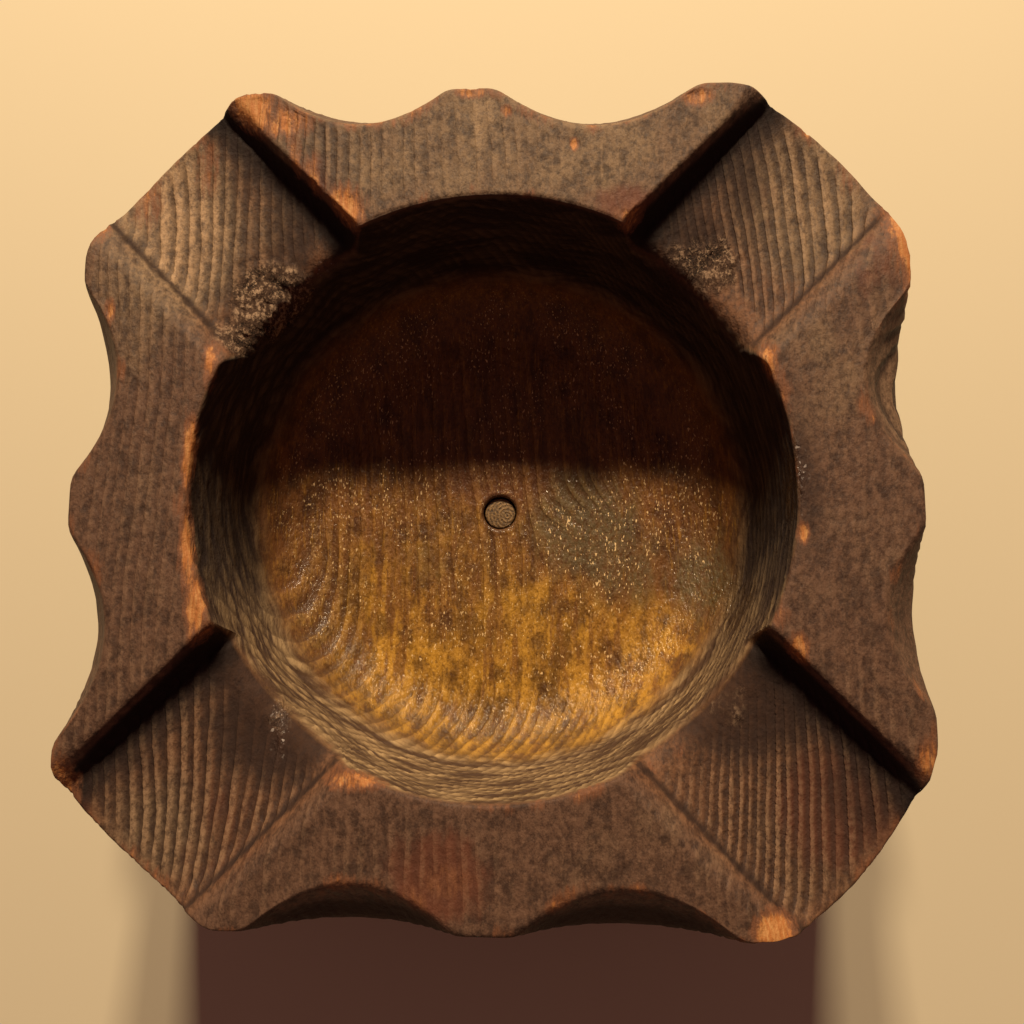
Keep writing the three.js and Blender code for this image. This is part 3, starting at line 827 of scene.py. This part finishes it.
def charred_softwood():
    material, wires, surface = finish("charred_softwood", Coat_Roughness=0.12, Specular_IOR_Level=0.3)
    place = wires.place()
    ridge = ring_field(wires, place)
    fibre = wires.noise(place, (0.5, 6, 0.5), detail=4.0, roughness=0.7, seed=11.0)
    mottle = wires.noise(place, (9, 15, 9), detail=4.0, roughness=0.6, seed=5.0)
    grit = wires.noise(place, (0.8, 1.3, 0.8), detail=4.0, roughness=0.7, seed=8.0)
    patch = wires.noise(place, (3.5, 8, 3.5), detail=4.0, roughness=0.65, seed=31.0)
    noises = fibre, mottle, grit, patch
    top = smoked_top(wires, place, noises)
    wood = wires.mix(wires.field("bowl"), top, varnished_bowl(wires, place, noises))

    ridged = wires.field("ridged")
    valley = wires.times(wires.rest(ridge), wires.step(ridged, 0.0, 0.9, 0.08, 0.75))
    wood = wires.mix(valley, wood, wires.mix(wires.field("bowl"), SMOKE_AND_SHADE_DARK, BOWL_VALLEY))
    clean = wires.times(wires.rest(wires.field("soot_and_shade")), wires.rest(wires.field("wall")))
    crest = wires.times(wires.step(ridge, 0.4, 0.85), ridged, wires.math("MAXIMUM", clean, 0.0))
    crest_colour = wires.mix(wires.field("bowl"), DUST_PALE, BOWL_CREST)
    wood = wires.mix(wires.times(crest, wires.step(grit, 0.35, 0.6, 0.1, 0.5)), wood, crest_colour)
    # Painted shade: the +Y half of the bowl wall is darkened where the lamp's shadow falls.
    wood = wires.mix(wires.times(wires.field("wall_painted_shade"), 0.8), wood, PAINTED_WALL_SHADE)
    # Painted shade: the pilot hole and a ring of floor round it are darkened.
    wood = wires.mix(wires.times(wires.field("hole"), 0.55), wood, SMOKE_AND_SHADE_DARK)

    wear = wires.times(wear_field(wires, place), wires.field("carved"))
    wood = wires.mix(wires.times(wires.step(wear, 0.15, 0.6), 0.75), wood, RUBBED_RUST)
    fresh = wires.mix(wires.step(fibre, 0.4, 0.72), BARE_ORANGE, BARE_PALE)
    wood = wires.mix(wires.step(wear, 0.55, 0.95), wood, fresh)

    char = char_field(wires, place)
    scorch = wires.plus(wires.field("burnt"), wires.times(wires.minus(patch, 0.5), 0.7))
    scorch = wires.step(scorch, 0.3, 0.75)
    crumb = wires.mix(wires.step(char, 0.02, 0.3), CHAR_BLACK, CHAR_BROWN)
    pale_crumb = wires.times(wires.step(char, 0.35, 0.7), wires.step(grit, 0.45, 0.58))
    crumb = wires.mix(pale_crumb, crumb, CHAR_CRUMB)
    wood = wires.mix(scorch, wood, crumb)
    wires.feed(surface.inputs["Base Color"], wood)

    glossy = wires.field("glossy")
    tarred = wires.plus(wires.field("tarred"), wires.times(wires.minus(patch, 0.5), 1.2))
    tarred = wires.step(tarred, 0.3, 0.9)
    dull = wires.step(glossy, 0.0, 1.0, 0.66, 0.48)
    dull = wires.plus(dull, wires.times(wires.field("wall"), 0.25))
    dull = wires.plus(dull, wires.times(wires.math("MAXIMUM", wires.field("soot_and_shade"), scorch), 0.2))
    dull = wires.minus(wires.plus(dull, wires.times(wires.minus(grit, 0.5), 0.4)), wires.times(tarred, 0.45))
    wires.feed(surface.inputs["Roughness"], dull)
    coat = wires.math("MAXIMUM", wires.times(glossy, 0.32), wires.times(tarred, 0.4))
    wires.feed(surface.inputs["Coat Weight"], coat)
    fine = wires.noise(place, (0.55, 1.2, 0.55), detail=2.0, roughness=0.6, seed=51.0)
    blister = wires.noise(place, (1.6, 2.4, 1.6), detail=3.0, roughness=0.6, seed=41.0)
    height = wires.plus(
        wires.times(ridge, ridged, 0.25), wires.times(fibre, 0.08), wires.times(grit, 0.16),
        wires.times(fine, glossy, 0.3), wires.times(char, scorch, 0.6), wires.times(blister, 0.35),
        wires.times(streaks(wires, place), wires.field("wall"), 0.55), wires.times(fine, tarred, 0.5),
    )
    bump = wires.add("ShaderNodeBump", {"Height": height, "Distance": MM, "Strength": 1.0})
    wires.feed(surface.inputs["Normal"], bump.outputs[0])
    wires.feed(surface.inputs["Coat Normal"], bump.outputs[0])
    return material


def plug_wood():
    material, wires, surface = finish("plug_wood", Roughness=0.55)
    place = wires.place()
    middle = wires.vector("SUBTRACT", place, (1.6, -0.7, 0.0))
    waves = {"Vector": middle, "Scale": 0.42, "Distortion": 1.2, "Detail": 2.0}
    rings = wires.add("ShaderNodeTexWave", waves, wave_type="RINGS", rings_direction="Z")
    grit = wires.noise(place, (0.5, 0.5, 0.5), detail=4.0, roughness=0.7, seed=2.0)
    wood = wires.mix(rings.outputs["Fac"], PLUG_BROWN, PLUG_PALE)
    wood = wires.mix(wires.step(grit, 0.36, 0.55), PLUG_GRIME, wood)
    wires.feed(surface.inputs["Base Color"], wood)
    height = wires.plus(wires.times(rings.outputs["Fac"], 0.08), wires.times(grit, 0.3))
    bump = wires.add("ShaderNodeBump", {"Height": height, "Distance": MM, "Strength": 1.0})
    wires.feed(surface.inputs["Normal"], bump.outputs[0])
    return material


def green_felt():
    material, wires, surface = finish("green_felt", Roughness=0.95, Sheen_Weight=0.5, Sheen_Roughness=0.5)
    place = wires.place()
    hair = wires.noise(place, (0.25, 0.9, 0.4), detail=4.0, roughness=0.7, seed=1.0)
    cross = wires.noise(place, (0.9, 0.25, 0.4), detail=4.0, roughness=0.7, seed=9.0)
    worn = wires.noise(place, (16, 16, 16), detail=3.0, seed=6.0)
    tangle = wires.math("MAXIMUM", hair, cross)
    wool = wires.mix(wires.step(tangle, 0.4, 0.7), FELT_DARK, FELT_GREEN)
    wool = wires.mix(wires.step(worn, 0.5, 0.8, 0.0, 0.5), wool, FELT_FADED)
    wires.feed(surface.inputs["Base Color"], wool)
    bump = wires.add("ShaderNodeBump", {"Height": tangle, "Distance": 0.3 * MM, "Strength": 0.8})
    wires.feed(surface.inputs["Normal"], bump.outputs[0])
    return material


# ---- the pieces ---------------------------------------------------------------------------------
def carved_dish():
    crown = top_level(*round_ring(RIM_RADIUS + LIPS, 0)[:, :2].T)
    rings = floor_rings() + wall_rings(crown) + top_rings() + side_rings() + recess_rings()
    mesh = skin("carved_dish", rings)
    keep_fields(mesh, rings)
    piece = baked(new_piece("carved_dish", mesh), brushed_relief(charred_softwood()), RELIEF_SIZES)
    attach(piece, "root")
    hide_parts("dish_body")
    return piece


def wood_plug():
    """A dowel cut off a little below the floor of the bowl, with an eased and slightly domed end."""
    radius = plug_high.x
    ease = 0.3 * MM
    dome = 0.2 * MM
    turns = 64
    angles = np.linspace(0, 2 * math.pi, turns + 1)[:-1]

    def circle(r, z):
        return ring(np.column_stack([r * np.cos(angles), r * np.sin(angles)]), z)

    rings = []
    for share in np.linspace(0.08, 1, 9):
        reach = share * (radius - ease)
        rings.append(circle(reach, plug_high.z - dome * share ** 2))
    for turn in np.linspace(0, math.pi / 2, 5)[1:]:
        level = plug_high.z - dome - ease * (1 - math.cos(turn))
        rings.append(circle(radius - ease * (1 - math.sin(turn)), level))
    rings.append(circle(radius, plug_low.z + ease))
    rings.append(circle(radius - ease, plug_low.z))
    mesh = skin("wood_plug", rings)
    mesh.materials.append(plug_wood())
    piece = new_piece("wood_plug", mesh)
    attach(piece, "root")
    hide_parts("centre_plug")
    return piece


def felt_pad():
    """A square of felt with round corners and soft cut edges."""
    half = felt_high.x
    ease = 0.45 * MM
    angles = np.linspace(0, 2 * math.pi, 480, endpoint=False) + math.pi / 4
    rings = []

    def square(inset, level):
        return ring(rounded_square(half - inset, FELT_CORNER - inset, angles), level)

    for share in np.linspace(0.02, 1, 24)[:-1]:
        rings.append(ring(rounded_square(half - ease, FELT_CORNER - ease, angles) * share, felt_high.z))
    for turn in np.linspace(0, math.pi, 9):
        level = (felt_high.z + felt_low.z) / 2 + (felt_high.z - felt_low.z) / 2 * math.cos(turn)
        rings.append(square(ease * (1 - math.sin(turn)), level))
    for share in np.linspace(1, 0.02, 24)[1:]:
        rings.append(ring(rounded_square(half - ease, FELT_CORNER - ease, angles) * share, felt_low.z))
    mesh = skin("felt_pad", rings)
    mesh.materials.append(green_felt())
    piece = new_piece("felt_pad", mesh)
    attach(piece, "root")
    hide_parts("base_felt")
    return piece


# ---- stage --------------------------------------------------------------------------------------
FLOOR_CREAM = (0.74, 0.66, 0.47, 1)


def pale_floor():
    mesh = bpy.data.meshes.new("floor")
    mesh.from_pydata([(-3, -3, 0), (3, -3, 0), (3, 3, 0), (-3, 3, 0)], [], [(0, 1, 2, 3)])
    material, _, _ = finish("pale_floor", Roughness=0.85, Base_Color=FLOOR_CREAM)
    mesh.materials.append(material)
    floor = new_piece("floor", mesh)


LAMP_DISTANCE = 1.1
LAMP_HEIGHT = math.radians(40)
LAMP_TURN = 6  # degrees that each lamp stands off the +Y direction
LAMP_SIZE = (0.11, 0.08)
LAMP_POWER = 8.6
LAMP_COLOUR = (1, 0.78, 0.53)
FILL_COLOUR = (1, 0.46, 0.42, 1)
FILL_STRENGTH = 0.1


def warm_light():
    """Two small lamps side by side beyond the bowl, 40 degrees up, and a weak warm fill."""
    for name, turn in (("left_lamp", LAMP_TURN), ("right_lamp", -LAMP_TURN)):
        lamp = bpy.data.lights.new(name, "AREA")
        lamp.shape = "RECTANGLE"
        lamp.size, lamp.size_y = LAMP_SIZE
        lamp.energy = LAMP_POWER
        lamp.color = LAMP_COLOUR
        holder = bpy.data.objects.new(name, lamp)
        bpy.context.scene.collection.objects.link(holder)
        out_way = heading(90 + turn) * math.cos(LAMP_HEIGHT)
        holder.location = LAMP_DISTANCE * Vector((*out_way, math.sin(LAMP_HEIGHT)))
        holder.rotation_euler = (-holder.location).to_track_quat("-Z", "Y").to_euler()
    world = bpy.data.worlds.new("fill")
    world.use_nodes = True
    background = world.node_tree.nodes["Background"]
    background.inputs["Color"].default_value = FILL_COLOUR
    background.inputs["Strength"].default_value = FILL_STRENGTH
    bpy.context.scene.world = world


FOCAL_LENGTH = 29.88  # mm, on a sensor 36 mm wide
SENSOR_WIDTH = 36
CAMERA_PLACE = (0.0112, -0.0226, 0.2060)
CAMERA_AIM = (-0.0461, 0.1226, -0.9914)
CAMERA_UP = (-0.00024, 0.9924, 0.1228)


def camera():
    """Looking almost straight down on the bowl, tipped a little towards +Y."""
    lens = bpy.data.cameras.new("camera")
    lens.lens = FOCAL_LENGTH
    lens.sensor_width = SENSOR_WIDTH
    lens.clip_start = 0.01
    holder = bpy.data.objects.new("camera", lens)
    bpy.context.scene.collection.objects.link(holder)
    look = Vector(CAMERA_AIM).normalized()
    right = look.cross(Vector(CAMERA_UP)).normalized()
    up = right.cross(look)
    turned = Matrix((right, up, -look)).transposed().to_4x4()
    holder.matrix_world = Matrix.Translation(CAMERA_PLACE) @ turned
    bpy.context.scene.camera = holder


camera()
pale_floor()
warm_light()
carved_dish()
wood_plug()
felt_pad()
bpy.context.scene.view_settings.view_transform = "Standard"
